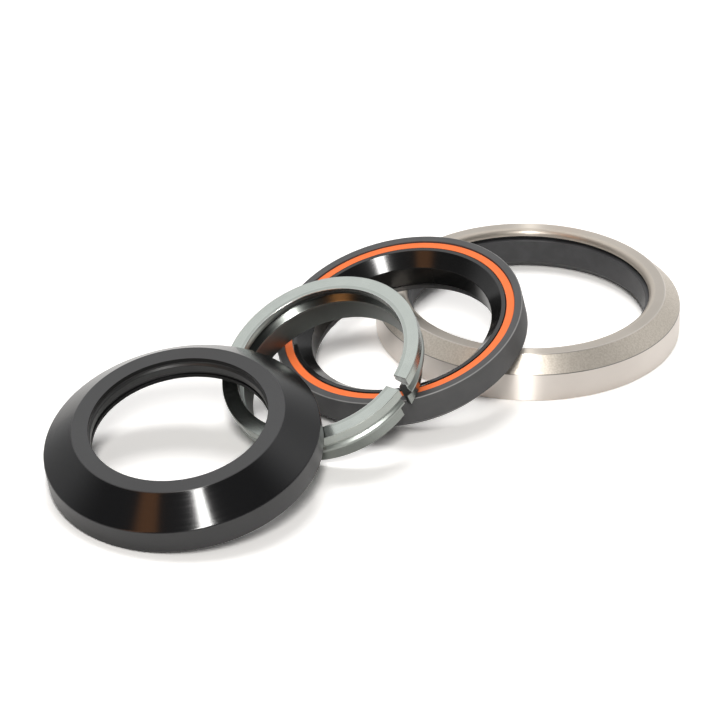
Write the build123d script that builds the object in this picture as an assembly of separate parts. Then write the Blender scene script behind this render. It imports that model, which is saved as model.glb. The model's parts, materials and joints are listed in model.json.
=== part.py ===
from build123d import *
import os
from math import cos, pi, radians, sin, sqrt
import numpy as np

# Headset of a bicycle with a tapered fork: a top cover, a split compression ring and two sealed
# angular-contact cartridge bearings. The lower bearing lies flat, and each of the other rings leans
# on the one behind it. Sizes are millimetres and degrees. The origin is the middle of the set's
# footprint on the table, with X to the right, Y to the back and Z up.

# Steerer tube that the set clamps
STEERER_DIAMETER = 28.6

# Upper cartridge bearing; the section is its width from bore to wall
UPPER_DIAMETER = 41.8
UPPER_SECTION = 5.65
UPPER_HEIGHT = 7.5
UPPER_CHAMFER = 2.6
UPPER_CONE = 2.1
UPPER_RIM = 1.35
UPPER_SEAL_WIDTH = 1.45
UPPER_BALLS = 20

# Lower cartridge bearing, made like the upper one and turned over
LOWER_DIAMETER = 51.8
LOWER_SECTION = 5.9
LOWER_HEIGHT = 7.5
LOWER_CHAMFER = 2.6
LOWER_CONE = 1.6
LOWER_RIM = 1.5
LOWER_SEAL_WIDTH = 1.5
LOWER_BALLS = 24

# What both bearings share
BALL_DIAMETER = 3.175
LIP_HEIGHT = 1.1
LIP_STEP = 0.6
FACE_SEAL_HEIGHT = 0.5
FACE_SEAL_STEP = 0.15
FACE_SEAL_WIDTH = 1.1
SEAL_HEIGHT = 0.8
SEAL_RECESS = 0.25
RACE_RECESS = 0.15
CAGE_HEIGHT = 0.7
CAGE_ROOM = 0.2

# Split compression ring
RING_HEAD_DIAMETER = 34.0
RING_GUTTER_DIAMETER = 32.4
RING_FLANGE_DIAMETER = 33.5
RING_SPIGOT_WALL = 0.85
RING_HEAD_HEIGHT = 1.75
RING_GUTTER_HEIGHT = 0.8
RING_SHOULDER_HEIGHT = 0.8
RING_FLANGE_HEIGHT = 0.4
RING_SPIGOT_HEIGHT = 2.25
RING_COUNTERBORE_DEPTH = 1.3
RING_TAPER_HEIGHT = 2.0
RING_SPLIT = 2.2
RING_SPLIT_HEADING = 325.5

# Top cover and the rubber seal in its bore
COVER_DIAMETER = 44.9
COVER_TOP_DIAMETER = 34.4
COVER_FLANK_HEIGHT = 3.95
COVER_RIM_HEIGHT = 4.2
COVER_BORE_HEIGHT = 4.05
COVER_RECESS_DIAMETER = 41.0
COVER_LIP = 0.7
COVER_GROOVE = 1.0

# Clearances
SEAT_GAP = 0.03
FIT_GAP = 0.02
RUNNING_GAP = 0.06
BALL_GAP = 0.08
STEERER_GAP = 0.1
COVER_BORE_GAP = 0.2
RING_COUNTERBORE_GAP = 0.1

# How each ring leans: the tilt of its axis, the heading that its top faces and the heading from the
# ring behind it, counted from X towards Y
UPPER_TILT = 16.4
UPPER_FACING = 225.9
UPPER_HEADING = 224.0
RING_TILT = 27.9
RING_FACING = 227.9
RING_HEADING = 233.8
COVER_TILT = 13.6
COVER_FACING = 238.5
COVER_HEADING = 221.6


def turned(outline):
    """A ring turned about Z from a closed section of (radius, height) points."""
    section = make_face(Plane.XZ * Polyline(*outline, close=True))
    return revolve(section, axis=Axis.Z)


def bearing(diameter, section, height, chamfer_height, cone, rim, seal_width, count):
    """One cartridge bearing, seat chamfer down and base at zero: its pieces by their plain names."""
    wall = diameter / 2
    hole = wall - section
    race_wall = wall - rim
    lip = hole + LIP_STEP
    seal_lip = race_wall - seal_width
    race_end = LIP_HEIGHT + FACE_SEAL_HEIGHT + RUNNING_GAP
    race_top = height - RACE_RECESS
    ball = BALL_DIAMETER / 2
    track = sqrt(2) * (ball + BALL_GAP)
    pitch = race_wall - BALL_GAP - ball
    ball_height = race_end + ball + BALL_GAP
    neck = pitch - ball - BALL_GAP
    shoulder = seal_lip - RUNNING_GAP

    # The outer race carries the balls on a 45 degree track above its seat chamfer, and its lip
    # reaches in under the inner race.
    outline = [
        (wall, height),
        (wall, chamfer_height),
        (wall - chamfer_height, 0),
        (lip, 0),
        (lip, LIP_HEIGHT),
        (pitch + track - ball_height + LIP_HEIGHT, LIP_HEIGHT),
        (race_wall, ball_height + race_wall - pitch - track),
        (race_wall, height),
    ]

    # The inner race rides on the other side of the balls, and its cone takes the mating ring.
    inner_race = turned([
        (hole, race_end),
        (neck, race_end),
        (neck, ball_height + track + neck - pitch),
        (shoulder, ball_height + track + shoulder - pitch),
        (shoulder, race_top),
        (hole + cone, race_top),
        (hole, race_top - cone),
    ])

    # The seal sits in the outer race and thins out to a lip at the inner race's shoulder.
    seal_top = height - SEAL_RECESS
    seal = turned([
        (seal_lip, seal_top),
        (race_wall - FIT_GAP, seal_top),
        (race_wall - FIT_GAP, seal_top - SEAL_HEIGHT),
    ])

    # The face seal lies on the lip and rises to close the gap below the inner race.
    face_lip = lip + FACE_SEAL_STEP
    face_seal = turned([
        (face_lip, LIP_HEIGHT),
        (face_lip + FACE_SEAL_WIDTH, LIP_HEIGHT),
        (face_lip, LIP_HEIGHT + FACE_SEAL_HEIGHT),
    ])

    # The cage is a many-sided hoop above the balls with a post in each space between them.
    half_step = pi / count
    hoop_inside = shoulder + CAGE_ROOM
    hoop_outside = race_wall - CAGE_ROOM
    hoop_base = ball_height + ball + BALL_GAP
    hoop = RegularPolygon(hoop_outside, count) - RegularPolygon(hoop_inside, count, major_radius=False)
    cage = Pos(Z=hoop_base) * extrude(hoop, CAGE_HEIGHT)
    post = Box(
        hoop_outside * cos(half_step) - hoop_inside,
        2 * pitch * sin(half_step) - BALL_DIAMETER - 2 * CAGE_ROOM,
        hoop_base - ball_height + CAGE_HEIGHT,
        align=(Align.MIN, Align.CENTER, Align.MIN),
    )
    for turn in range(count):
        cage += Rot(Z=(turn + 0.75) * 360 / count) * Pos(hoop_inside, 0, ball_height) * post

    # Each ball is a 26-sided solid with its corners on the true sphere, which keeps the row light.
    cube = BALL_DIAMETER / sqrt(1 + 2 * (sqrt(2) - 1) ** 2)
    facets = chamfer(Box(cube, cube, cube).edges(), cube * (1 - sqrt(0.5)))
    balls = [
        Rot(Z=(turn + 0.25) * 360 / count) * Pos(pitch, 0, ball_height) * facets
        for turn in range(count)
    ]

    return {
        "outline": outline,
        "outer_race": turned(outline),
        "inner_race": inner_race,
        "seal": seal,
        "face_seal": face_seal,
        "ball_cage": cage,
        "balls": Compound(balls),
    }


def compression_ring_outline():
    """Section of the compression ring, base at zero: spigot, 45 degree cone, flange, gutter, head."""
    bore = STEERER_DIAMETER / 2
    spigot = bore + RING_SPIGOT_WALL
    flange = RING_FLANGE_DIAMETER / 2
    cone_top = RING_SPIGOT_HEIGHT + flange - spigot
    flange_top = cone_top + RING_FLANGE_HEIGHT
    gutter = flange_top + RING_SHOULDER_HEIGHT
    head = gutter + RING_GUTTER_HEIGHT
    top = head + RING_HEAD_HEIGHT
    counterbore_floor = top - RING_COUNTERBORE_DEPTH
    return [
        (bore, 0),
        (spigot, 0),
        (spigot, RING_SPIGOT_HEIGHT),
        (flange, cone_top),
        (flange, flange_top),
        (RING_GUTTER_DIAMETER / 2, gutter),
        (RING_GUTTER_DIAMETER / 2, head),
        (RING_HEAD_DIAMETER / 2, head),
        (RING_HEAD_DIAMETER / 2, top),
        (bore + RING_COUNTERBORE_GAP, top),
        (bore + RING_COUNTERBORE_GAP, counterbore_floor),
        (bore, counterbore_floor - RING_TAPER_HEIGHT),
    ]


def top_cover_outline():
    """Section of the cover, foot at zero, hollow below, with a seal groove in its bore."""
    top = COVER_RIM_HEIGHT + COVER_FLANK_HEIGHT
    ceiling = top - COVER_BORE_HEIGHT
    hole = STEERER_DIAMETER / 2 + COVER_BORE_GAP
    groove = hole + COVER_GROOVE
    return [
        (COVER_RECESS_DIAMETER / 2, 0),
        (COVER_DIAMETER / 2, 0),
        (COVER_DIAMETER / 2, COVER_RIM_HEIGHT),
        (COVER_TOP_DIAMETER / 2, top),
        (hole, top),
        (hole, top - COVER_LIP),
        (groove, top - COVER_LIP),
        (groove, ceiling + COVER_LIP),
        (hole, ceiling + COVER_LIP),
        (hole, ceiling),
        (COVER_RECESS_DIAMETER / 2, ceiling),
    ]


def cover_seal_outline():
    """Section of the rubber ring that fills the cover's groove and reaches in to the steerer."""
    top = COVER_RIM_HEIGHT + COVER_FLANK_HEIGHT - COVER_LIP - FIT_GAP
    base = COVER_RIM_HEIGHT + COVER_FLANK_HEIGHT - COVER_BORE_HEIGHT + COVER_LIP + FIT_GAP
    outside = STEERER_DIAMETER / 2 + COVER_BORE_GAP + COVER_GROOVE - FIT_GAP
    inside = STEERER_DIAMETER / 2 + STEERER_GAP
    return [(inside, base), (outside, base), (outside, top), (inside, top)]


def frame_of(pose):
    """The centre of a placed ring and its three directions."""
    plane = Plane(pose)
    directions = [tuple(plane.x_dir), tuple(plane.y_dir), tuple(plane.z_dir)]
    return np.array(tuple(plane.origin)), np.array(directions)


def edge_points(outline, pose):
    """Points all along the turned edges of a placed ring."""
    centre, directions = frame_of(pose)
    turns = np.linspace(0, 2 * pi, 1440, endpoint=False)
    rings = [np.stack([r * np.cos(turns), r * np.sin(turns), h + 0 * turns], 1) for r, h in outline]
    return centre + np.concatenate(rings) @ directions


def clearance(points, outline, pose):
    """The least distance of points from a placed ring, negative where one is inside its section."""
    centre, directions = frame_of(pose)
    local = (points - centre) @ directions.T
    radius = np.hypot(local[:, 0], local[:, 1])
    height = local[:, 2]
    nearest = np.full(len(points), np.inf)
    inside = np.zeros(len(points), bool)
    for (r0, h0), (r1, h1) in zip(outline, outline[1:] + outline[:1]):
        along = ((radius - r0) * (r1 - r0) + (height - h0) * (h1 - h0)) / ((r1 - r0) ** 2 + (h1 - h0) ** 2)
        along = np.clip(along, 0, 1)
        apart = np.hypot(radius - r0 - along * (r1 - r0), height - h0 - along * (h1 - h0))
        nearest = np.minimum(nearest, apart)
        if h0 != h1:
            crossed = (height < h0) != (height < h1)
            inside ^= crossed & (radius < r0 + (height - h0) * (r1 - r0) / (h1 - h0))
    return np.where(inside, -nearest, nearest).min()


def leaned(outline, tilt, facing, heading, support, support_pose):
    """The place of a ring that stands on the table and leans on a ring behind it."""
    lean = Rot(Z=facing) * Rot(Y=tilt) * Rot(Z=-facing)
    lift = max(r * sin(radians(tilt)) - h * cos(radians(tilt)) for r, h in outline)
    start = support_pose.position
    support_edges = edge_points(support, support_pose)
    near = 0.0
    far = max(outline)[0] + max(support)[0]
    while far - near > SEAT_GAP / 10:
        reach = (near + far) / 2
        across = Pos(start.X + reach * cos(radians(heading)), start.Y + reach * sin(radians(heading)), lift)
        pose = across * lean
        gap = min(
            clearance(support_edges, outline, pose),
            clearance(edge_points(outline, pose), support, support_pose),
        )
        if gap > SEAT_GAP:
            far = reach
        else:
            near = reach
    return Pos(start.X + far * cos(radians(heading)), start.Y + far * sin(radians(heading)), lift) * lean


# The lower bearing lies on the table with its seat chamfer up.
lower = bearing(
    diameter=LOWER_DIAMETER,
    section=LOWER_SECTION,
    height=LOWER_HEIGHT,
    chamfer_height=LOWER_CHAMFER,
    cone=LOWER_CONE,
    rim=LOWER_RIM,
    seal_width=LOWER_SEAL_WIDTH,
    count=LOWER_BALLS,
)
lower_pose = Pos(Z=LOWER_HEIGHT) * Rot(X=180)

# The upper bearing leans on the lower one.
upper = bearing(
    diameter=UPPER_DIAMETER,
    section=UPPER_SECTION,
    height=UPPER_HEIGHT,
    chamfer_height=UPPER_CHAMFER,
    cone=UPPER_CONE,
    rim=UPPER_RIM,
    seal_width=UPPER_SEAL_WIDTH,
    count=UPPER_BALLS,
)
upper_pose = leaned(upper["outline"], UPPER_TILT, UPPER_FACING, UPPER_HEADING, lower["outline"], lower_pose)

# The compression ring leans on the upper bearing. One saw cut lets it close round the steerer.
ring_outline = compression_ring_outline()
ring_pose = leaned(ring_outline, RING_TILT, RING_FACING, RING_HEADING, upper["outline"], upper_pose)
saw = Box(
    RING_HEAD_DIAMETER,
    RING_SPLIT,
    RING_HEAD_DIAMETER,
    align=(Align.MIN, Align.CENTER, Align.CENTER),
)
ring = turned(ring_outline) - Rot(Z=RING_SPLIT_HEADING) * saw

# The cover leans on the compression ring, with its seal inside.
cover_outline = top_cover_outline()
cover_pose = leaned(cover_outline, COVER_TILT, COVER_FACING, COVER_HEADING, ring_outline, ring_pose)

# The four rings together are centred on the table.
laid_out = [
    (cover_outline, cover_pose),
    (ring_outline, ring_pose),
    (upper["outline"], upper_pose),
    (lower["outline"], lower_pose),
]
edges = np.concatenate([edge_points(outline, pose) for outline, pose in laid_out])
middle = (edges.min(axis=0) + edges.max(axis=0)) / 2
centred = Pos(-middle[0], -middle[1])
cover_pose, ring_pose, upper_pose, lower_pose = [centred * pose for outline, pose in laid_out]

nodes = {
    "top_cover": cover_pose * turned(cover_outline),
    "cover_seal": cover_pose * turned(cover_seal_outline()),
    "compression_ring": ring_pose * ring,
    "upper_outer_race": upper_pose * upper["outer_race"],
    "upper_inner_race": upper_pose * upper["inner_race"],
    "upper_top_seal": upper_pose * upper["seal"],
    "upper_bottom_seal": upper_pose * upper["face_seal"],
    "upper_ball_cage": upper_pose * upper["ball_cage"],
    "upper_balls": upper_pose * upper["balls"],
    "lower_outer_race": lower_pose * lower["outer_race"],
    "lower_inner_race": lower_pose * lower["inner_race"],
    "lower_top_seal": lower_pose * lower["face_seal"],
    "lower_bottom_seal": lower_pose * lower["seal"],
    "lower_ball_cage": lower_pose * lower["ball_cage"],
    "lower_balls": lower_pose * lower["balls"],
}
os.makedirs("parts", exist_ok=True)
for name, shape in nodes.items():
    export_step(shape, f"parts/{name}.step")

for name, pose in (("cover", cover_pose), ("ring", ring_pose), ("upper", upper_pose), ("lower", lower_pose)):
    centre, directions = frame_of(pose)
    print(name, "base centre", centre.round(4).tolist(), "axis", directions[2].round(6).tolist())
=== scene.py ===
# %% [markdown]
# # A bicycle headset, laid out as a set
# Four rings lie on a pale table: a black top cover, a grey split compression ring, a black upper
# bearing with an orange seal, and a bare steel lower bearing. Every ring is turned on a lathe, so
# this lesson is about turning: one section, spun round its own axis, with every edge broken as a
# lathe hand would break it. The packed solids are the frame, and each piece here stands for one.

# %% Load the packed frame
import json
import math
import bpy
import numpy as np
from mathutils import Matrix, Vector


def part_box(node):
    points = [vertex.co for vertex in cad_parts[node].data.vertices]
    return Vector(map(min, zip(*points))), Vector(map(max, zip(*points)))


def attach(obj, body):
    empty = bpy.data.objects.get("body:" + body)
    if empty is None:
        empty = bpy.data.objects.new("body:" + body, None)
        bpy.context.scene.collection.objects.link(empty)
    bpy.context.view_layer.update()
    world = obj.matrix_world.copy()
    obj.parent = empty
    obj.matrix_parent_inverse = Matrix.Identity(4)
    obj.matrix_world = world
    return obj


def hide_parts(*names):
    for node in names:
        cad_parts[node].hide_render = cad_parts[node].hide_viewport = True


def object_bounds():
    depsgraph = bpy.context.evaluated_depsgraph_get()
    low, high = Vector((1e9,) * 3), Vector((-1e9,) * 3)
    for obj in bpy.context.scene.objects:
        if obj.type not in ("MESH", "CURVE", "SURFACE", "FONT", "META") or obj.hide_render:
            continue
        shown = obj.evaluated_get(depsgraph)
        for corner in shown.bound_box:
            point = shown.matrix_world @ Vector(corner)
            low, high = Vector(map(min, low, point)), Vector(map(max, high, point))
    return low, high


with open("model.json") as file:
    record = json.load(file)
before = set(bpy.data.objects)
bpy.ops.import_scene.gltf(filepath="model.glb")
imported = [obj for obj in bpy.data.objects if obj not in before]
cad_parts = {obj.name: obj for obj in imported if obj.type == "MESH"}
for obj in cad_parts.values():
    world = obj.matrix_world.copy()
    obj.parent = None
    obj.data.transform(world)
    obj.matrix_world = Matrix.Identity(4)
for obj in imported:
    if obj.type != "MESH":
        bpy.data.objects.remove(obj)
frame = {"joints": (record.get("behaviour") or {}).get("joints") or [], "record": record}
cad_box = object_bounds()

MM = 0.001


def in_mm(point):
    """A point of the frame in millimetres, rounded for printing."""
    return [round(c / MM, 2) for c in point]


print("solids from", in_mm(cad_box[0]), "to", in_mm(cad_box[1]), "mm")

# %% [markdown]
# ## Where each ring lies
# Every ring is drawn upright round its own Z axis, in millimetres, and then leaned into its place.
# The bearings turn on the joints of the frame, and the middle of the cover's seal is one of its
# mounts, so those places are read from there. The compression ring has neither, so its place is
# written here. A ring that leans is turned the short way from upright to its axis.

# %% Places of the four rings
BEARING_HEIGHT = 7.5
GROOVE_FOOT, GROOVE_TOP = 4.8, 7.45
RING_BASE = (-0.0056654, -0.0086746, 0.0070891)
RING_AXIS = (-0.313713, -0.347193, 0.883766)


def leaned(point, axis, below):
    """The place of a ring whose axis passes through a point that lies a height above its base."""
    axis = Vector(axis).normalized()
    base = Vector(point) - axis * below * MM
    lean = Vector((0, 0, 1)).rotation_difference(axis)
    return Matrix.Translation(base) @ lean.to_matrix().to_4x4()


joints = {joint["name"]: joint for joint in frame["joints"]}
mounts = {mount["name"]: mount for mount in frame["record"]["mounts"]}
cover_seal, upper_spin = mounts["steerer_bore"], joints["upper_spin"]
lower_middle = Vector(joints["lower_spin"]["pos_m"])
turned_over = Matrix.Translation(lower_middle) @ Matrix.Rotation(math.pi, 4, "X")
places = {
    "cover": leaned(cover_seal["pos_m"], cover_seal["axis"], (GROOVE_FOOT + GROOVE_TOP) / 2),
    "ring": leaned(RING_BASE, RING_AXIS, 0),
    "upper": leaned(upper_spin["pos_m"], upper_spin["axis"], BEARING_HEIGHT / 2),
    "lower": turned_over @ Matrix.Translation((0, 0, -BEARING_HEIGHT / 2 * MM)),
}
for name, place in places.items():
    print(name, "base at", in_mm(place.translation), "mm")

# %% [markdown]
# ## Turning a section
# A turned ring could come from Blender's Screw modifier, but its smooth shading then bleeds over
# the edges. Here the section is a list of corners, each with a rounding. The rounded section gives
# both the points and the true surface directions, and those become the mesh's own normals, so flat
# faces stay flat and each edge catches a thin line of light, as it does on the real rings.

# %% Round the corners of a section
EDGE_STEPS = 4


def rounded_section(corners):
    """Points and outward directions along a closed section of (radius, height, rounding) corners."""
    area = sum(a[0] * b[1] - b[0] * a[1] for a, b in zip(corners, corners[1:] + corners[:1]))
    if area < 0:
        corners = corners[::-1]
    points, normals = [], []
    neighbours = zip(corners[-1:] + corners[:-1], corners, corners[1:] + corners[:1])
    for before, corner, after in neighbours:
        here = np.array(corner[:2], float)
        come = here - np.array(before[:2])
        leave = np.array(after[:2]) - here
        come = come / np.hypot(*come)
        leave = leave / np.hypot(*leave)
        turn = math.atan2(come[0] * leave[1] - come[1] * leave[0], come @ leave)
        side = np.array([come[1], -come[0]])
        bulge = corner[2] * (1 if turn > 0 else -1)
        centre = here - come * corner[2] * math.tan(abs(turn) / 2) - side * bulge
        for step in range(EDGE_STEPS + 1):
            angle = turn * step / EDGE_STEPS
            c, s = math.cos(angle), math.sin(angle)
            normal = np.array([side[0] * c - side[1] * s, side[0] * s + side[1] * c])
            points.append(centre + normal * bulge)
            normals.append(normal)
    return np.array(points), np.array(normals)


square = [(1, 0, 0.1), (2, 0, 0.1), (2, 1, 0.1), (1, 1, 0.1)]
print("a square section becomes", len(rounded_section(square)[0]), "points")

# %% [markdown]
# The points of a section are repeated round the axis, and each column of points is joined to the
# next by faces. A piece that knows its true surface directions gets them as its normals. Any other
# piece is smoothed, and stays sharp at its edges.

# %% Turn a section into a ring
TURN_STEPS = 240
SHARP_EDGE = math.radians(40)


def faces_round(columns, count, closed=True):
    """Faces between neighbouring columns, each of which is a closed loop of points."""
    faces = []
    for column in range(columns if closed else columns - 1):
        here, there = column * count, (column + 1) % columns * count
        for row in range(count):
            above = (row + 1) % count
            faces.append((here + row, there + row, there + above, here + above))
    return faces


def piece_from(name, vertices, faces, place, normals=None):
    """A smooth mesh object, drawn in millimetres and set at its place."""
    mesh = bpy.data.meshes.new(name)
    mesh.from_pydata((np.asarray(vertices) * MM).tolist(), [], faces)
    mesh.polygons.foreach_set("use_smooth", [True] * len(mesh.polygons))
    if normals is None:
        mesh.set_sharp_from_angle(angle=SHARP_EDGE)
    else:
        mesh.normals_split_custom_set_from_vertices(np.asarray(normals).tolist())
    piece = bpy.data.objects.new(name, mesh)
    piece.matrix_world = place
    bpy.context.scene.collection.objects.link(piece)
    return piece


def turned(name, corners, place):
    """A whole ring from its section."""
    points, normals = rounded_section(corners)
    turns = np.arange(TURN_STEPS) * 2 * math.pi / TURN_STEPS
    c, s = np.cos(turns)[:, None], np.sin(turns)[:, None]
    up = np.ones_like(c)
    vertices, facing = (
        np.stack([along[:, 0] * c, along[:, 0] * s, along[:, 1] * up], 2).reshape(-1, 3)
        for along in (points, normals)
    )
    return piece_from(name, vertices, faces_round(TURN_STEPS, len(points)), place, facing)


print("a turned ring has", TURN_STEPS, "columns of points")

# %% [markdown]
# ## Shader maths as plain sums
# A finish is easier to read as sums than as a web of nodes. The small class below wraps a node's
# output, and each operator adds a Math node. Comparisons give 1 where they hold and 0 elsewhere.

# %% The wrapped socket
class Signal:
    """A number that changes over a surface, written in sums."""

    def __init__(self, finish, socket):
        self.finish = finish
        self.socket = socket

    def maths(self, operation, *numbers):
        return self.finish.node("Math", {"operation": operation}, dict(enumerate(numbers)))

    def __add__(self, other):
        return self.maths("ADD", self, other)

    def __radd__(self, other):
        return self.maths("ADD", other, self)

    def __sub__(self, other):
        return self.maths("SUBTRACT", self, other)

    def __rsub__(self, other):
        return self.maths("SUBTRACT", other, self)

    def __mul__(self, other):
        return self.maths("MULTIPLY", self, other)

    def __rmul__(self, other):
        return self.maths("MULTIPLY", other, self)

    def __truediv__(self, other):
        return self.maths("DIVIDE", self, other)

    def __rtruediv__(self, other):
        return self.maths("DIVIDE", other, self)

    def __pow__(self, other):
        return self.maths("POWER", self, other)

    def __abs__(self):
        return self.maths("ABSOLUTE", self)

    def __gt__(self, other):
        return self.maths("GREATER_THAN", self, other)

    def __lt__(self, other):
        return self.maths("LESS_THAN", self, other)

    def either(self, other):
        """The larger of two numbers, so that two masks become one."""
        return self.maths("MAXIMUM", self, other)

    def between(self, start, end):
        """0 up to start, 1 from end on, and a soft slope between."""
        settings = {"interpolation_type": "SMOOTHSTEP"}
        sockets = {"Value": self, "From Min": start, "From Max": end}
        return self.finish.node("MapRange", settings, sockets)


print("besides its operators a signal has", [word for word in vars(Signal) if word[0] != "_"])

# %% [markdown]
# Any other node comes from one method, which takes the node's type, its settings and what goes into
# its sockets. The methods after it name what the finishes below share: the place of a point on its
# ring, clouds and grain, turning lines, specks of dust, and the skin that light falls on. A turned
# surface spreads light across its turning lines, and a quarter turn of the shader's tangent does that.

# %% The finish
ACROSS_LINES = 0.25
TOOL_MARK = 0.004


class Finish:
    """A node tree that is written in sums, for a material or for the world."""

    def __init__(self, owner):
        owner.use_nodes = True
        self.owner = owner
        self.tree = owner.node_tree
        self.tree.nodes.clear()

    def node(self, kind, settings=None, sockets=None, output=0):
        """Adds a node of a type, with its settings first, then the values or links of its sockets."""
        made = self.tree.nodes.new("ShaderNode" + kind)
        for key, value in (settings or {}).items():
            setattr(made, key, value)
        for key, value in (sockets or {}).items():
            socket = made.inputs[key]
            if isinstance(value, Signal):
                self.tree.links.new(value.socket, socket)
            else:
                socket.default_value = (*value, 1.0) if socket.type == "RGBA" else value
        return Signal(self, made.outputs[output] if made.outputs else None)

    def split(self, vector):
        """The three numbers of a vector."""
        return [self.node("SeparateXYZ", sockets={0: vector}, output=axis) for axis in "XYZ"]

    def dot(self, vector, way):
        """How far a vector goes along a way."""
        sockets = {0: vector, 1: way}
        return self.node("VectorMath", {"operation": "DOT_PRODUCT"}, sockets, output="Value")

    def spot(self):
        """The position of a point on its own upright ring, in millimetres."""
        spot = self.node("TexCoord", output="Object")
        return self.node("VectorMath", {"operation": "SCALE"}, {0: spot, "Scale": 1 / MM})

    def place(self):
        """The position of a point, its distance from the ring's axis and its height."""
        spot = self.spot()
        x, y, height = self.split(spot)
        return spot, (x * x + y * y) ** 0.5, height

    def noise(self, spot, scale, detail=2.0, stretch=(1, 1, 1)):
        """A soft random value from 0 to 1, in grains per millimetre."""
        spot = self.node("VectorMath", {"operation": "MULTIPLY"}, {0: spot, 1: stretch})
        return self.node("TexNoise", sockets={"Vector": spot, "Scale": scale, "Detail": detail})

    def lines(self, radius, height, per_mm):
        """Turning lines: a random value that changes across faces, cones and walls, never round."""
        across = radius * 0.8 + height * 0.6
        sockets = {"W": across, "Scale": per_mm, "Detail": 3.0}
        return self.node("TexNoise", {"noise_dimensions": "1D"}, sockets)

    def specks(self, spot, room, size, share):
        """Small round specks: 1 on a speck, 0 elsewhere; a share of the cells has one."""
        scaled = {"Vector": spot, "Scale": 1 / room}
        near = self.node("TexVoronoi", sockets=scaled, output="Distance")
        dice = self.node("TexVoronoi", sockets=scaled, output="Color")
        dice = self.node("SeparateColor", sockets={0: dice})
        return (near < size / room) * (dice > 1 - share)

    def mixed(self, share, first, second):
        """A share of the second colour over the first."""
        sockets = {"Factor": share, 6: first, 7: second}
        return self.node("Mix", {"data_type": "RGBA"}, sockets, output=2)

    def bump(self, height, strength, depth):
        """A surface direction from a height; the depth is in millimetres."""
        sockets = {"Height": height, "Strength": strength, "Distance": depth * MM}
        return self.node("Bump", sockets=sockets)

    def skin(self, **sockets):
        """One Principled shader; an underscore stands for a space in a socket's name."""
        sockets = {key.replace("_", " "): value for key, value in sockets.items()}
        return self.node("BsdfPrincipled", sockets=sockets)

    def surface(self, skin, share=None, second=None):
        """Ends the finish in one skin, or in two of which the second covers a share."""
        if second:
            skin = self.node("MixShader", sockets={0: share, 1: skin, 2: second})
        self.node("OutputMaterial", sockets={"Surface": skin})
        print("finish", self.owner.name, len(self.tree.nodes), "nodes")
        return self.owner


def finish(name):
    """A new material, ready to be written."""
    return Finish(bpy.data.materials.new(name))


finishes = {}

# %% [markdown]
# ## Black anodising
# The cover is turned aluminium, dyed black and sealed. The lathe tool leaves fine rings, so a lamp
# shows as a streak across them. The dye is almost black, and most of what we see is the room in the
# clear skin of oxide. The flank is polished, while the flat top and the rim are satin. The streak
# comes from the shader's anisotropy, the fine lines from a noise that only changes across the
# turning, and a few specks of dust keep it from looking printed. The lips of the bore have a second,
# duller skin, because next to no light gets out of there.

# %% Black anodised finish
COVER_WALL, COVER_BORE = 22.45, 14.5
COVER_RIM, COVER_TOP = 4.2, 8.15


def black_anodised():
    f = finish("black_anodised")
    spot, radius, height = f.place()
    above_rim = height.between(COVER_RIM - 0.15, COVER_RIM + 0.15)
    flank = above_rim * (1 - height.between(COVER_TOP - 0.13, COVER_TOP - 0.03))
    rim = (1 - above_rim) * radius.between(COVER_WALL - 0.45, COVER_WALL - 0.25)
    bore = 1 - radius.between(COVER_BORE + 0.04, COVER_BORE + 0.10)
    lines = f.lines(radius, height, 9.0)
    cloud = f.noise(spot, 0.12)
    grain = f.noise(spot, 14.0)
    dust = f.specks(spot, room=2.4, size=0.07, share=0.035)
    dye, faded_dye = (0.030, 0.030, 0.031), (0.038, 0.038, 0.039)
    polished_dye = (0.0085, 0.0085, 0.009)
    colour = f.mixed(rim, f.mixed(cloud, dye, faded_dye), dye)
    colour = f.mixed(flank, colour, polished_dye)
    colour = f.mixed(dust, colour, (0.45, 0.44, 0.42))
    skin = f.skin(
        Base_Color=colour,
        Roughness=0.40 - 0.33 * flank - 0.13 * rim + 0.08 * lines + 0.05 * grain,
        IOR=1.52,
        Anisotropic=0.55,
        Anisotropic_Rotation=ACROSS_LINES,
        Normal=f.bump(lines + 0.4 * grain, 0.25, TOOL_MARK),
    )
    deep = f.skin(Base_Color=(0.006, 0.006, 0.006), Roughness=0.40 + 0.06 * lines, IOR=1.25)
    return f.surface(skin, bore, deep)


finishes["black_anodised"] = black_anodised()

# %% [markdown]
# ## Grey hard anodising
# The compression ring is plain aluminium with a thin grey-green oxide. The oxide is so thin that the
# metal still mirrors the room, so the finish is all metal, with a slightly mottled tone. The inner
# edge of the top has a painted highlight, while the bore, the relief groove and the tail are painted
# darker, as painted shade. The cut face of the head has a bright painted reflection, and the cut
# face below the head has painted shade. All of these are found by their place on the ring.

# %% Grey anodised finish
RING_BORE, RING_COUNTERBORE, RING_GROOVE = 14.3, 14.4, 15.35
RING_NECK, RING_HEAD = 16.2, 17.0
CONE_TOP, BORE_TOP = 3.85, 4.4
HEAD_FOOT, COUNTERBORE_FOOT, RING_TOP = 5.85, 6.3, 7.6
CUT_WIDTH = 2.2
CUT_HEADING = math.radians(325.5)
CUT_WAY = (math.cos(CUT_HEADING), math.sin(CUT_HEADING), 0)
CUT_SIDE = (-math.sin(CUT_HEADING), math.cos(CUT_HEADING), 0)


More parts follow.
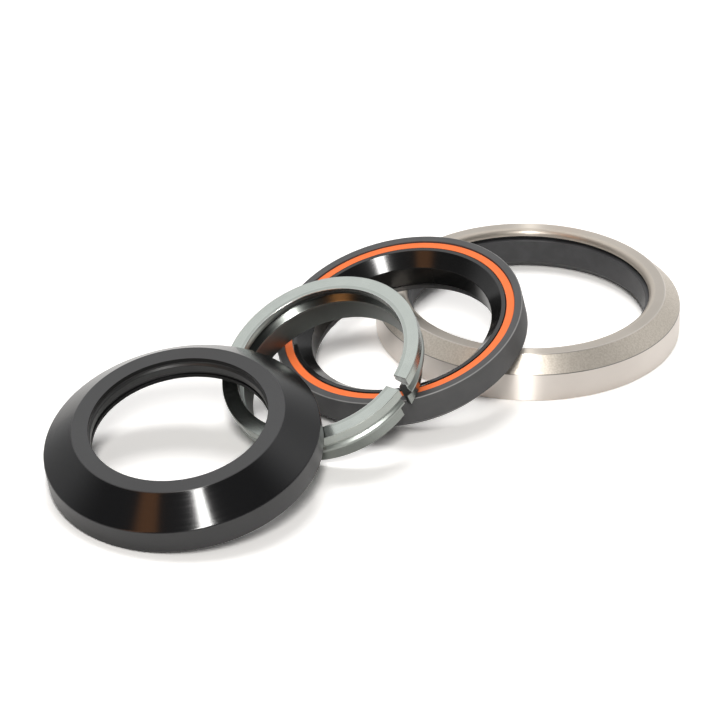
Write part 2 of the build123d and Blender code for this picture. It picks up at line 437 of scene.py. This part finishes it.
def grey_anodised():
    f = finish("grey_anodised")
    spot, radius, height = f.place()
    top = height.between(RING_TOP - 0.10, RING_TOP - 0.02)
    # painted highlight along the inner edge of the top
    painted_inner_highlight = top * (1 - radius.between(RING_COUNTERBORE + 0.02, RING_COUNTERBORE + 0.18))
    inner_band = top * (1 - radius.between(RING_COUNTERBORE + 0.62, RING_COUNTERBORE + 0.68))
    outer_edge = top * radius.between(RING_HEAD - 0.14, RING_HEAD - 0.06)
    head = height.between(HEAD_FOOT - 0.35, HEAD_FOOT - 0.05)
    shoulder = height.between(CONE_TOP - 0.05, CONE_TOP + 0.35)
    shoulder = shoulder * (1 - height.between(HEAD_FOOT - 0.85, HEAD_FOOT - 0.55))
    shoulder = shoulder * radius.between(RING_NECK - 0.3, RING_NECK - 0.1)
    # the tail, groove and bore masks below mark where painted shade darkens the colour
    tail = 1 - height.between(CONE_TOP - 0.05, CONE_TOP + 0.45)
    groove = height.between(BORE_TOP - 0.1, BORE_TOP + 0.2)
    groove = groove * (1 - height.between(COUNTERBORE_FOOT + 0.3, COUNTERBORE_FOOT + 0.7))
    groove = groove * (1 - radius.between(RING_GROOVE + 0.05, RING_GROOVE + 0.25))
    bore = 1 - radius.between(RING_BORE + 0.03, RING_BORE + 0.12)
    bore = bore * (1 - height.between(BORE_TOP - 0.2, BORE_TOP + 0.1))
    sawn = (abs(f.dot(spot, CUT_SIDE)) < CUT_WIDTH / 2 + 0.03) * (f.dot(spot, CUT_WAY) > 10.0)
    lines = f.lines(radius, height, 7.0)
    cloud = f.noise(spot, 0.45, 3.0)
    grain = f.noise(spot, 11.0)
    colour = f.mixed(cloud, (0.40, 0.430, 0.405), (0.47, 0.500, 0.47))
    # painted shade: the tail, the relief groove and the bore are coloured darker
    colour = f.mixed(tail * 0.55, colour, (0.20, 0.215, 0.20))
    colour = f.mixed(0.70 * groove + 0.52 * bore, colour, (0.05, 0.053, 0.05))
    colour = f.mixed(0.30 * inner_band, colour, (0.22, 0.24, 0.22))
    # painted highlight on the inner edge of the top and painted reflection on the cut face of the head
    colour = f.mixed(painted_inner_highlight.either(sawn * head), colour, (0.80, 0.82, 0.80))
    # painted shade on the cut face below the head
    colour = f.mixed(sawn * (1 - head), colour, (0.11, 0.115, 0.11))
    dull = 0.20 * bore + 0.16 * shoulder + 0.30 * outer_edge
    skin = f.skin(
        Base_Color=colour,
        Metallic=1.0,
        Roughness=0.17 + dull + 0.07 * lines + 0.04 * grain,
        Anisotropic=0.35,
        Anisotropic_Rotation=ACROSS_LINES,
        Normal=f.bump(lines + 0.6 * grain, 0.2, TOOL_MARK),
    )
    return f.surface(skin)


finishes["grey_anodised"] = grey_anodised()

# %% [markdown]
# ## Black steel
# The upper races are hardened steel with a black oxide. The outer wall is ground to a satin, while
# the cone of the inner race is polished, because the compression ring has to slide into it. One
# function makes both, from a roughness, a tone, and the radius of the top edge, along which a thin
# pale line is a painted highlight. The bore of the inner race has a skin of its own, darker and
# mirroring little.

# %% Black oxide finish
UPPER_WALL, UPPER_HOLE = 20.9, 15.25
RACE_TOP, UPPER_CONE = 7.35, 2.1


def black_steel(name, roughness, tone, edge):
    f = finish(name)
    spot, radius, height = f.place()
    # painted highlight: a thin pale line along the top edge
    painted_top_edge_highlight = height.between(BEARING_HEIGHT - 0.20, BEARING_HEIGHT - 0.10)
    painted_top_edge_highlight = painted_top_edge_highlight * radius.between(edge, edge + 0.06)
    cone_foot = RACE_TOP - UPPER_CONE
    bore = 1 - height.between(cone_foot - 0.10, cone_foot + 0.05)
    bore = bore * (1 - radius.between(UPPER_HOLE + 0.15, UPPER_HOLE + 0.35))
    lines = f.lines(radius, height, 8.0)
    cloud = f.noise(spot, 0.25, 3.0)
    grain = f.noise(spot, 16.0)
    dust = f.specks(spot, room=2.0, size=0.06, share=0.02)
    dark = (tone * 0.75, tone * 0.75, tone * 0.78)
    light = (tone * 1.25, tone * 1.25, tone * 1.25)
    colour = f.mixed(dust, f.mixed(cloud, dark, light), (0.35, 0.34, 0.33))
    # painted highlight along the top edge
    colour = f.mixed(painted_top_edge_highlight * (0.5 + 0.5 * cloud), colour, (0.30, 0.295, 0.29))
    skin = f.skin(
        Base_Color=colour,
        Roughness=roughness + 0.06 * lines + 0.08 / 0.3 * roughness * grain,
        IOR=1.5,
        Anisotropic=0.3,
        Anisotropic_Rotation=ACROSS_LINES,
        Normal=f.bump(lines + grain, roughness, TOOL_MARK),
    )
    dim_bore_skin = f.skin(Base_Color=(0.008, 0.008, 0.008), Roughness=0.16 + 0.06 * lines, IOR=1.28)
    return f.surface(skin, bore, dim_bore_skin)


finishes["black_satin"] = black_steel(
    "black_satin_steel", roughness=0.36, tone=0.064, edge=UPPER_WALL - 0.18
)
finishes["black_gloss"] = black_steel(
    "black_polished_steel", roughness=0.10, tone=0.010, edge=18.0
)

# %% [markdown]
# ## Satin nickel steel
# The lower outer race is plated. Its wall is ground, which draws a bright streak down it. Its wall
# is painted lighter and its lip darker, as painted light and shade, and the rounding of the lip is
# painted darker, as painted shade. The seat cone and the rounding of the lip are blasted to a fine
# sandy grain. Ground and blasted metal scatter light in different ways, so they are two skins in
# one material, told apart by radius and height on the ring. A thin dark line runs along the edge
# where wall and cone meet.

# %% Bare steel finish
LOWER_WALL, LOWER_HOLE = 25.9, 20.0
SEAT = 2.6
LIP_STEP, LOWER_LIP_EDGE = 0.6, 0.95


def bare_steel():
    f = finish("bare_steel")
    spot, radius, height = f.place()
    cone_end, rounding_end = LOWER_WALL - SEAT, LOWER_HOLE + LIP_STEP + LOWER_LIP_EDGE
    cone = (1 - height.between(SEAT - 0.15, SEAT)) * height.between(0.05, 0.15)
    cone = cone * radius.between(cone_end - 0.1, cone_end + 0.1)
    lip = 1 - radius.between(cone_end - 0.2, cone_end + 0.1)
    rounding = 1 - radius.between(rounding_end - 0.2, rounding_end + 0.2)
    dark_edge_line = height.between(SEAT - 0.12, SEAT - 0.04) * (1 - height.between(SEAT, SEAT + 0.08))
    dark_edge_line = dark_edge_line * radius.between(LOWER_WALL - 0.3, LOWER_WALL - 0.2)
    lines = f.lines(radius, height, 8.0)
    grain = f.noise(spot, 9.0, 3.0)
    blast = f.noise(spot, 3.2, 3.0).between(0.30, 0.70)
    cloud = f.noise(spot, 0.2, 3.0)
    nick = f.specks(spot, room=3.1, size=0.09, share=0.02)
    dark = (0.12, 0.11, 0.10)
    # painted light and shade: the wall is coloured lighter than the lip
    bright = f.mixed(cloud, (0.90, 0.835, 0.775), (0.95, 0.890, 0.830))
    bright = f.mixed(lip, bright, f.mixed(cloud, (0.56, 0.510, 0.450), (0.62, 0.570, 0.510)))
    ground = f.skin(
        Base_Color=f.mixed(0.75 * dark_edge_line, bright, dark),
        Metallic=1.0,
        Roughness=0.34 + 0.05 * (lines - 0.5),
        Anisotropic=1.0,
        Anisotropic_Rotation=ACROSS_LINES,
        Normal=f.bump(lines, 0.1, TOOL_MARK),
    )
    sandy = f.mixed(blast, (0.67, 0.605, 0.520), (0.79, 0.725, 0.640))
    # painted shade: the rounding of the lip is coloured darker
    sandy = f.mixed(rounding, sandy, (0.52, 0.465, 0.400))
    blasted = f.skin(
        Base_Color=f.mixed(nick, sandy, dark),
        Metallic=0.72,
        Roughness=0.40 + 0.12 * (grain - 0.5),
        Anisotropic=0.5,
        Anisotropic_Rotation=ACROSS_LINES,
        Normal=f.bump(grain + 2 * blast, 0.22, 3 * TOOL_MARK),
    )
    return f.surface(ground, cone + 0.85 * rounding, blasted)


finishes["bare_steel"] = bare_steel()

# %% [markdown]
# ## Dark ground steel
# The lower inner race is heat-treated and only ground, so it is dark and a little blotchy from the
# oil it was quenched in. The blotches change both the colour and the gloss.

# %% Dark steel finish
def dark_steel():
    f = finish("dark_steel")
    spot, radius, height = f.place()
    lines = f.lines(radius, height, 8.0)
    blotch = f.noise(spot, 0.35, 4.0).between(0.3, 0.7)
    grain = f.noise(spot, 12.0)
    skin = f.skin(
        Base_Color=f.mixed(blotch, (0.052, 0.052, 0.054), (0.070, 0.070, 0.073)),
        Metallic=0.35,
        Roughness=0.34 + 0.10 * blotch + 0.08 * lines,
        IOR=1.5,
        Anisotropic=0.3,
        Anisotropic_Rotation=ACROSS_LINES,
        Normal=f.bump(lines + grain, 0.25, 0.005),
    )
    return f.surface(skin)


finishes["dark_steel"] = dark_steel()

# %% [markdown]
# ## Polished balls, rubber and nylon
# The balls are polished to a mirror, with hair-fine scratches. The seals are moulded rubber, with a
# fine grain and a little cloudy in tone. The rib that rubs on the steerer is smoother than the rest,
# and its rubber is coloured lighter, as a painted sheen.
# The cages are natural nylon, a milky off-white. Balls and cages only show when a bearing is taken
# apart, but a part in a library may be.

# %% Ball, rubber and nylon finishes
MOULD_GRAIN = 0.01


def ball_steel():
    f = finish("ball_steel")
    scratch = f.noise(f.spot(), 2.0, 5.0, stretch=(1, 6, 1))
    colour = f.mixed(scratch, (0.66, 0.66, 0.68), (0.74, 0.74, 0.76))
    return f.surface(f.skin(Base_Color=colour, Metallic=1.0, Roughness=0.07 + 0.06 * scratch))


def rubber(name, dark, light, roughness):
    f = finish(name)
    spot = f.spot()
    cloud = f.noise(spot, 0.5, 3.0)
    grain = f.noise(spot, 13.0, 3.0)
    skin = f.skin(
        Base_Color=f.mixed(cloud, dark, light),
        Roughness=roughness + 0.14 * grain,
        IOR=1.45,
        Normal=f.bump(grain, 0.3, MOULD_GRAIN),
    )
    return f.surface(skin)


def nylon():
    f = finish("nylon")
    spot = f.spot()
    cloud = f.noise(spot, 0.6, 3.0)
    grain = f.noise(spot, 10.0)
    skin = f.skin(
        Base_Color=f.mixed(cloud, (0.70, 0.67, 0.59), (0.78, 0.75, 0.68)),
        Roughness=0.42 + 0.12 * grain,
        IOR=1.53,
        Normal=f.bump(grain, 0.2, MOULD_GRAIN),
    )
    return f.surface(skin)


finishes["ball_steel"] = ball_steel()
for name, dark, light, roughness in (
    ("orange_rubber", (0.90, 0.175, 0.045), (0.97, 0.215, 0.062), 0.42),
    ("black_rubber", (0.010, 0.010, 0.010), (0.017, 0.017, 0.017), 0.45),
    # painted sheen: the rib's rubber is a lighter copy of the black rubber
    ("rib_rubber_painted_sheen", (0.020, 0.020, 0.020), (0.034, 0.034, 0.034), 0.26),
):
    finishes[name] = rubber(name, dark, light, roughness)
finishes["nylon"] = nylon()

# %% [markdown]
# ## The top cover
# It keeps water out of the upper bearing. A flat top, a conical flank and a straight rim are turned
# outside, and the inside is hollow so that it drops over the bearing. The bore has a groove for a
# seal. The edge between flank and rim is softly rounded, and the top edge is crisp.

# %% Turn the top cover
SET = "laid_out_set"
COVER_FACE, COVER_RECESS, COVER_GROOVE = 17.2, 20.5, 15.5
COVER_ROOF = 4.1


def stands_for(piece, node, body, skin):
    """The piece is finished, takes a solid's place, moves with its body and is measured against it."""
    piece.data.materials.append(finishes[skin])
    low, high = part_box(node)
    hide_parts(node)
    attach(piece, body)
    bpy.context.view_layer.update()
    spots = np.array([piece.matrix_world @ vertex.co for vertex in piece.data.vertices])
    apart = max(abs(spots.min(0) - low).max(), abs(spots.max(0) - high).max())
    print(node, len(spots), "points, within", round(apart / MM, 3), "mm of its solid's box")


cover = turned(
    "cover",
    [
        (COVER_RECESS, 0, 0.12),
        (COVER_WALL, 0, 0.35),
        (COVER_WALL, COVER_RIM, 0.45),
        (COVER_FACE, COVER_TOP, 0.22),
        (COVER_BORE, COVER_TOP, 0.12),
        (COVER_BORE, GROOVE_TOP, 0.05),
        (COVER_GROOVE, GROOVE_TOP, 0.05),
        (COVER_GROOVE, GROOVE_FOOT, 0.05),
        (COVER_BORE, GROOVE_FOOT, 0.05),
        (COVER_BORE, COVER_ROOF, 0.10),
        (COVER_RECESS, COVER_ROOF, 0.40),
    ],
    places["cover"],
)
stands_for(cover, "top_cover", SET, "black_anodised")

# %% [markdown]
# The seal in the cover's groove is a rubber ring with a soft rib that rubs on the steerer tube. The
# rib's two shallow valleys give the dark lines that show inside the bore.

# %% Turn the cover's seal
SEAL_GAP = 0.02
RIB, VALLEY = 14.40, 14.75
seal_back = COVER_GROOVE - SEAL_GAP
seal_foot, seal_top = GROOVE_FOOT + SEAL_GAP, GROOVE_TOP - SEAL_GAP
cover_rib = turned(
    "cover_rib_seal",
    [
        (RIB, 5.55, 0.22),
        (VALLEY, 5.30, 0.10),
        (VALLEY, seal_foot, 0.08),
        (seal_back, seal_foot, 0.05),
        (seal_back, seal_top, 0.05),
        (VALLEY, seal_top, 0.08),
        (VALLEY, 6.95, 0.10),
        (RIB, 6.70, 0.22),
    ],
    places["cover"],
)
stands_for(cover_rib, "cover_seal", SET, "rib_rubber_painted_sheen")

# %% [markdown]
# ## The split compression ring
# Its cone drops into the bearing, and when the stem is pulled down the cut closes and the ring grips
# the steerer. The cut is a flat saw slot, so its two faces are parallel and not radial. Each turned
# circle therefore starts at its own angle, and the cut faces get their own broken edges.

# %% A ring with a saw cut
def split_ring(name, corners, place, width, heading, edge):
    """A ring with one saw cut across it, whose cut faces have broken edges."""
    points, normals = rounded_section(corners)
    across = np.array([math.cos(heading), math.sin(heading)])
    along = np.array([-math.sin(heading), math.cos(heading)])
    vertices, facing = [], []

    def add_column(flat, flat_normals, heights, rises):
        vertices.append(np.column_stack([flat, heights]))
        facing.append(np.column_stack([flat_normals, rises]))

    def add_edge(side, step):
        """A column on the broken edge of a cut face, from the turned surface to the flat cut."""
        c, s = (trig(step * math.pi / 2 / EDGE_STEPS) for trig in (math.cos, math.sin))
        inset = points - normals * edge * (1 - c)
        offset = side * (width / 2 + edge * (1 - s))
        reach = np.sqrt(inset[:, 0] ** 2 - offset ** 2)[:, None]
        flat = reach * across + offset * along
        outward = flat / inset[:, :1]
        flat_normals = normals[:, :1] * outward * c - side * along * s
        add_column(flat, flat_normals, inset[:, 1], normals[:, 1] * c)

    for step in reversed(range(EDGE_STEPS + 1)):
        add_edge(1, step)
    start = np.arcsin((width / 2 + edge) / points[:, 0])
    for step in range(1, TURN_STEPS):
        turns = heading + start + (2 * math.pi - 2 * start) * step / TURN_STEPS
        outward = np.stack([np.cos(turns), np.sin(turns)], 1)
        add_column(points[:, :1] * outward, normals[:, :1] * outward, points[:, 1], normals[:, 1])
    for step in range(EDGE_STEPS + 1):
        add_edge(-1, step)
    count = len(points)
    faces = faces_round(len(vertices), count, closed=False)
    faces.append(tuple(range(count)))
    last = (len(vertices) - 1) * count
    faces.append(tuple(reversed(range(last, last + count))))
    return piece_from(name, np.concatenate(vertices), faces, place, np.concatenate(facing))


print("the saw cut is", CUT_WIDTH, "mm wide")

# %% [markdown]
# The ring's section goes from the thin tail up the cone to a shoulder, in under the head, round the
# head, and down the bore past a relief groove that leaves the ring springy.

# %% Turn and split the compression ring
RING_TAIL, RING_SHOULDER = 15.15, 16.75
grip_ring = split_ring(
    "grip_ring",
    [
        (RING_BORE, 0, 0.10),
        (RING_TAIL, 0, 0.15),
        (RING_TAIL, 2.25, 0.25),
        (RING_SHOULDER, CONE_TOP, 0.15),
        (RING_SHOULDER, 4.25, 0.35),
        (RING_NECK, 4.71, 0.08),
        (RING_NECK, HEAD_FOOT, 0.10),
        (RING_HEAD, HEAD_FOOT, 0.10),
        (RING_HEAD, RING_TOP, 0.10),
        (RING_COUNTERBORE, RING_TOP, 0.10),
        (RING_COUNTERBORE, COUNTERBORE_FOOT, 0.08),
        (RING_GROOVE, 5.95, 0.10),
        (RING_GROOVE, 5.35, 0.15),
        (RING_BORE, BORE_TOP, 0.15),
    ],
    places["ring"],
    width=CUT_WIDTH,
    heading=CUT_HEADING,
    edge=0.09,
)
stands_for(grip_ring, "compression_ring", SET, "grey_anodised")

# %% [markdown]
# ## The bearings
# Both are sealed angular-contact cartridges, and the lower one is the upper one made larger and
# turned over. Each has two races, a seal on the cone side, a thin face seal on the other, a crown
# cage and a ring of balls. One function draws a bearing's sections from its few sizes. The balls
# push at 45 degrees, so both tracks are flats at that slope, a small gap away from the balls.

# %% Sections of a bearing
BALL = 3.175 / 2
BALL_GAP = 0.08
LIP_HEIGHT, RACE_FOOT = 1.1, 1.66
SEAL_RUN, SEAL_TOP = 0.06, 7.25
FACE_SEAL_INSET, FACE_SEAL_WIDTH, FACE_SEAL_TOP = 0.15, 1.10, 1.60
HOOP_INSET = 0.2


def bearing_sections(wall, hole, rim, seal_width, cone, lip_edge):
    """Sections of the races and seals, and the sizes of balls and cage."""
    race_wall, lip = wall - rim, hole + LIP_STEP
    seal_lip, seal_wall = race_wall - seal_width, race_wall - SEAL_GAP
    shoulder, face_seal = seal_lip - SEAL_RUN, lip + FACE_SEAL_INSET
    pitch, ball_height = race_wall - BALL_GAP - BALL, RACE_FOOT + BALL_GAP + BALL
    neck, track = pitch - BALL - BALL_GAP, math.sqrt(2) * (BALL + BALL_GAP)
    return {
        "outer": [
            (wall, BEARING_HEIGHT, 0.16),
            (wall, SEAT, 0.12),
            (wall - SEAT, 0, 0.14),
            (lip, 0, lip_edge),
            (lip, LIP_HEIGHT, 0.05),
            (pitch + track - ball_height + LIP_HEIGHT, LIP_HEIGHT, 0.10),
            (race_wall, ball_height + race_wall - pitch - track, 0.20),
            (race_wall, BEARING_HEIGHT, 0.12),
        ],
        "inner": [
            (hole, RACE_FOOT, 0.12),
            (neck, RACE_FOOT, 0.10),
            (neck, ball_height + track + neck - pitch, 0.10),
            (shoulder, ball_height + track + shoulder - pitch, 0.10),
            (shoulder, RACE_TOP, 0.10),
            (hole + cone, RACE_TOP, 0.12),
            (hole, RACE_TOP - cone, 0.25),
        ],
        "seal": [
            (seal_lip, SEAL_TOP, 0.03),
            (race_wall - 0.10, SEAL_TOP, 0.10),
            (seal_wall, SEAL_TOP - 0.20, 0.05),
            (seal_wall, SEAL_TOP - 0.78, 0.04),
        ],
        "face_seal": [
            (face_seal, LIP_HEIGHT, 0.04),
            (face_seal + FACE_SEAL_WIDTH, LIP_HEIGHT, 0.03),
            (face_seal, FACE_SEAL_TOP, 0.05),
        ],
        "balls": (pitch, ball_height, BALL),
        "hoop": (shoulder + HOOP_INSET, race_wall - HOOP_INSET, ball_height + BALL + BALL_GAP),
    }


sections = {
    "upper": bearing_sections(
        UPPER_WALL, UPPER_HOLE, rim=1.35, seal_width=1.45, cone=UPPER_CONE, lip_edge=0.20
    ),
    "lower": bearing_sections(
        LOWER_WALL, LOWER_HOLE, rim=1.5, seal_width=1.5, cone=1.6, lip_edge=LOWER_LIP_EDGE
    ),
}
print("ball circles", [round(drawn["balls"][0], 3) for drawn in sections.values()], "mm")

# %% [markdown]
# The races and the seals are turned rings like the cover. A row of the table gives a piece's
# bearing, its own name, its section, the solid it stands for, its body, its slot and its finish.

# %% Turn races and seals
for bearing, own_name, section, node, body, slot, skin in (
    ("upper", "wall_race", "outer", "outer_race", SET, "black_steel", "black_satin"),
    ("upper", "cone_race", "inner", "inner_race", "upper_inner", "black_steel", "black_gloss"),
    ("upper", "orange_seal", "seal", "top_seal", SET, "orange_rubber", "orange_rubber"),
    ("upper", "thin_seal", "face_seal", "bottom_seal", SET, "black_rubber", "black_rubber"),
    ("lower", "wall_race", "outer", "outer_race", SET, "bare_steel", "bare_steel"),
    ("lower", "cone_race", "inner", "inner_race", "lower_inner", "dark_steel", "dark_steel"),
    ("lower", "black_seal", "seal", "bottom_seal", SET, "black_rubber", "black_rubber"),
    ("lower", "thin_seal", "face_seal", "top_seal", SET, "black_rubber", "black_rubber"),
):
    piece = turned(f"{bearing}_{own_name}", sections[bearing][section], places[bearing])
    stands_for(piece, f"{bearing}_{node}", body, skin)

# %% [markdown]
# ## Balls
# The balls lie on the pitch circle, in the places that the solids have: the first one is a quarter
# of a step round. Each is drawn in rows of faces from pole to pole, with the normals of a true sphere
# and a tiny flat at both poles, so that no face shrinks to a line.

# %% A ring of balls
BALL_ROWS, BALL_COLUMNS = 14, 24
POLE = 0.02
FIRST_BALL = 0.25


def ring_of_balls(name, count, pitch, height, radius, place):
    """All balls of a bearing as one piece."""
    ways = []
    for row in range(BALL_ROWS + 1):
        polar = math.pi * (row + POLE) / (BALL_ROWS + 2 * POLE)
        for column in range(BALL_COLUMNS):
            turn = 2 * math.pi * column / BALL_COLUMNS
            flat = math.sin(polar)
            ways.append((flat * math.cos(turn), flat * math.sin(turn), math.cos(polar)))
    ways = np.array(ways)
    vertices, faces = [], []
    for ball in range(count):
        angle = (ball + FIRST_BALL) * 2 * math.pi / count
        centre = np.array([pitch * math.cos(angle), pitch * math.sin(angle), height])
        start = len(ways) * ball
        vertices.append(centre + ways * radius)
        for row in range(BALL_ROWS):
            here, below = start + row * BALL_COLUMNS, start + (row + 1) * BALL_COLUMNS
            for column in range(BALL_COLUMNS):
                beside = (column + 1) % BALL_COLUMNS
                faces.append((here + column, below + column, below + beside, here + beside))
        last = start + BALL_ROWS * BALL_COLUMNS
        faces.append(tuple(range(start, start + BALL_COLUMNS)))
        faces.append(tuple(reversed(range(last, last + BALL_COLUMNS))))
    return piece_from(name, np.concatenate(vertices), faces, place, np.tile(ways, (count, 1)))


print("a ball has", BALL_ROWS, "rows of", BALL_COLUMNS, "faces")

# %% [markdown]
# ## Crown cages
# A crown cage is a hoop above the balls with a finger between each pair, and its pockets follow the
# balls. So the cage is one band whose lower edge rises over every ball in an arc, drawn column by
# column round the ring.

# %% A crown cage
STEPS_PER_BALL = 20
HOOP_HEIGHT = 0.7
POCKET_GAP = 0.12
CAGE_EDGE = 0.12


def crown_cage(name, count, hoop, balls, place):
    """A hoop with a pocket over every ball."""
    inside, outside, base = hoop
    pitch, height, radius = balls
    top, edge, pocket = base + HOOP_HEIGHT, CAGE_EDGE, radius + POCKET_GAP
    steps = count * STEPS_PER_BALL
    vertices = []
    for step in range(steps):
        angle = 2 * math.pi * step / steps
        from_ball = (step / STEPS_PER_BALL - FIRST_BALL + 0.5) % 1 - 0.5
        away = pitch * math.sin(from_ball * 2 * math.pi / count)
        foot = height + math.sqrt(max(pocket ** 2 - away ** 2, 0.0))
        section = [
            (inside + edge, foot),
            (outside - edge, foot),
            (outside, foot + edge),
            (outside, top - edge),
            (outside - edge, top),
            (inside + edge, top),
            (inside, top - edge),
            (inside, foot + edge),
        ]
        vertices += [(r * math.cos(angle), r * math.sin(angle), h) for r, h in section]
    return piece_from(name, vertices, faces_round(steps, len(section)), place)


for bearing, count in (("upper", 20), ("lower", 24)):
    drawn, place, body = sections[bearing], places[bearing], bearing + "_rolling"
    balls = ring_of_balls(bearing + "_ball_ring", count, *drawn["balls"], place)
    stands_for(balls, bearing + "_balls", body, "ball_steel")
    cage = crown_cage(bearing + "_crown_cage", count, drawn["hoop"], drawn["balls"], place)
    stands_for(cage, bearing + "_ball_cage", body, "nylon")

# %% [markdown]
# ## Table
# The rings lie on a table of matte white paper that takes their shadows. The paper has no light of
# its own. For the eye, and a little in reflections, its colour is whiter than what it sends back to
# the rings, so that the background is plain white while the rings are lit at a plain level.

# %% Floor
FLOOR_REACH = 3.0
FLOOR_GAP = 0.02
PAPER = (1.0, 0.985, 0.970)
PAPER_WHITE, SEEN_WHITER, MIRRORED_WHITER = 0.80, 0.48, 0.08

floor_mesh = bpy.data.meshes.new("table_top")
sides = ((-1, -1), (1, -1), (1, 1), (-1, 1))
floor_corners = [(x * FLOOR_REACH, y * FLOOR_REACH, 0) for x, y in sides]
floor_mesh.from_pydata(floor_corners, [], [(0, 1, 2, 3)])
floor = bpy.data.objects.new("table_top", floor_mesh)
floor.location.z = cad_box[0][2] - FLOOR_GAP * MM
bpy.context.scene.collection.objects.link(floor)

paper = finish("white_paper")
seen = paper.node("LightPath", output="Is Camera Ray")
seen = seen.either(paper.node("LightPath", output="Is Transmission Ray"))
mirrored = paper.node("LightPath", output="Is Glossy Ray")
whiteness = PAPER_WHITE + SEEN_WHITER * seen + MIRRORED_WHITER * mirrored
sheet = paper.node("VectorMath", {"operation": "SCALE"}, {0: PAPER, "Scale": whiteness})
floor_mesh.materials.append(paper.surface(paper.node("BsdfDiffuse", sockets={"Color": sheet})))

# %% [markdown]
# ## Light tent
# The world lights everything evenly. In reflections it is a tent: white behind the rings and whiter
# overhead, dimmer to the left and right, and dark in front, where the open side of a tent is. That
# dark front is what makes black rings look black. A brown card at the front left, which only
# reflections see, gives the black flank a second streak.

# %% World
EVEN_LIGHT = 0.24
DARK_FRONT, WHITE_BACK, WHITER_TOP = 0.03, 0.92, 0.50
RIGHT_DIM, LEFT_DIM = 0.45, 0.42
CARD_SLOPE, CARD_CORE, CARD_END = 1.19, 0.18, 0.42
CARD_BROWN, CARD_LIGHT = (0.85, 0.34, 0.10), 1.5

world = bpy.data.worlds.new("light_tent")
bpy.context.scene.world = world
tent = Finish(world)
eye = tent.node("LightPath", output="Is Camera Ray")
eye = eye.either(tent.node("LightPath", output="Is Transmission Ray"))
mirror = tent.node("LightPath", output="Is Glossy Ray")
to_right, to_back, upward = tent.split(tent.node("TexCoord", output="Generated"))
dim = RIGHT_DIM * to_right.between(0.0, 0.7) + LEFT_DIM * (0 - to_right).between(0.3, 0.8)
white = WHITE_BACK + WHITER_TOP * upward.between(0.5, 0.85) - dim
room = DARK_FRONT + to_back.between(-0.25, 0.30) * white
card = 1 - abs(to_back / to_right - CARD_SLOPE).between(CARD_CORE, CARD_END)
card = card * (to_back < -0.2) * upward.between(0.05, 0.2)
level = eye + (1 - eye) * (mirror * room + (1 - mirror) * EVEN_LIGHT)
sky = tent.node("Background", sockets={"Color": (1, 1, 1), "Strength": level})
glow = CARD_LIGHT * card * mirror
brown = tent.node("Background", sockets={"Color": CARD_BROWN, "Strength": glow})
tent.node("OutputWorld", sockets={"Surface": tent.node("AddShader", sockets={0: sky, 1: brown})})
print("light tent", len(tent.tree.nodes), "nodes")

# %% [markdown]
# ## Lamps
# A tall, narrow soft lamp stands in front, above the eye: it draws the streaks on the turned flanks.
# A wide one hangs behind and overhead and lights the flat tops. It is kept out of reflections, where
# the tent already has a white top.

# %% Lamps
def soft_lamp(name, azimuth, elevation, distance, size, brightness, colour, mirrored):
    """A flat lamp that faces the rings; its brightness is that of its own face, where white is 1."""
    data = bpy.data.lights.new(name, "AREA")
    data.shape = "ELLIPSE"
    data.size, data.size_y = size
    area = math.pi / 4 * size[0] * size[1]
    data.energy = brightness * math.pi * area
    data.color = colour
    lamp = bpy.data.objects.new(name, data)
    a, e = math.radians(azimuth), math.radians(elevation)
    way = Vector((math.cos(a) * math.cos(e), math.sin(a) * math.cos(e), math.sin(e)))
    lamp.location = way * distance
    lamp.rotation_euler = (-way).to_track_quat("-Z", "Y").to_euler()
    lamp.visible_camera = False
    lamp.visible_glossy = mirrored
    bpy.context.scene.collection.objects.link(lamp)
    print("lamp", name, round(data.energy, 2), "W")


soft_lamp("front", 271, 44, 1.2, (0.165, 0.50), 42.0, colour=(1.0, 0.99, 0.97), mirrored=True)
soft_lamp("overhead", 105, 77, 1.5, (0.90, 0.75), 6.9, colour=(1.0, 1.0, 1.0), mirrored=False)

# %% [markdown]
# ## Camera
# A long lens from a little under thirty degrees above the table, as a catalogue shot is taken. Its
# place was found from the outlines of the four rings.

# %% Camera
CAMERA_SPOT = (0.02601316, -0.64849519, 0.37369375)
CAMERA_YAW, CAMERA_DIP = -0.04313, 0.51395

camera_data = bpy.data.cameras.new("catalogue_camera")
camera_data.lens = 225
camera_data.sensor_width = 36
camera_data.clip_start = 0.01
camera = bpy.data.objects.new("catalogue_camera", camera_data)
camera.location = CAMERA_SPOT
level_gaze = Vector((math.sin(CAMERA_YAW), math.cos(CAMERA_YAW), 0))
gaze = level_gaze * math.cos(CAMERA_DIP) - Vector((0, 0, math.sin(CAMERA_DIP)))
camera.rotation_euler = gaze.to_track_quat("-Z", "Y").to_euler()
bpy.context.scene.collection.objects.link(camera)
bpy.context.scene.camera = camera
bpy.context.scene.view_settings.view_transform = "Standard"
print("camera at", in_mm(camera.location), "mm")

# %% [markdown] ## Last update
# The dressed set has to stay inside the solids' box.

# %% Update the scene
bpy.context.view_layer.update()
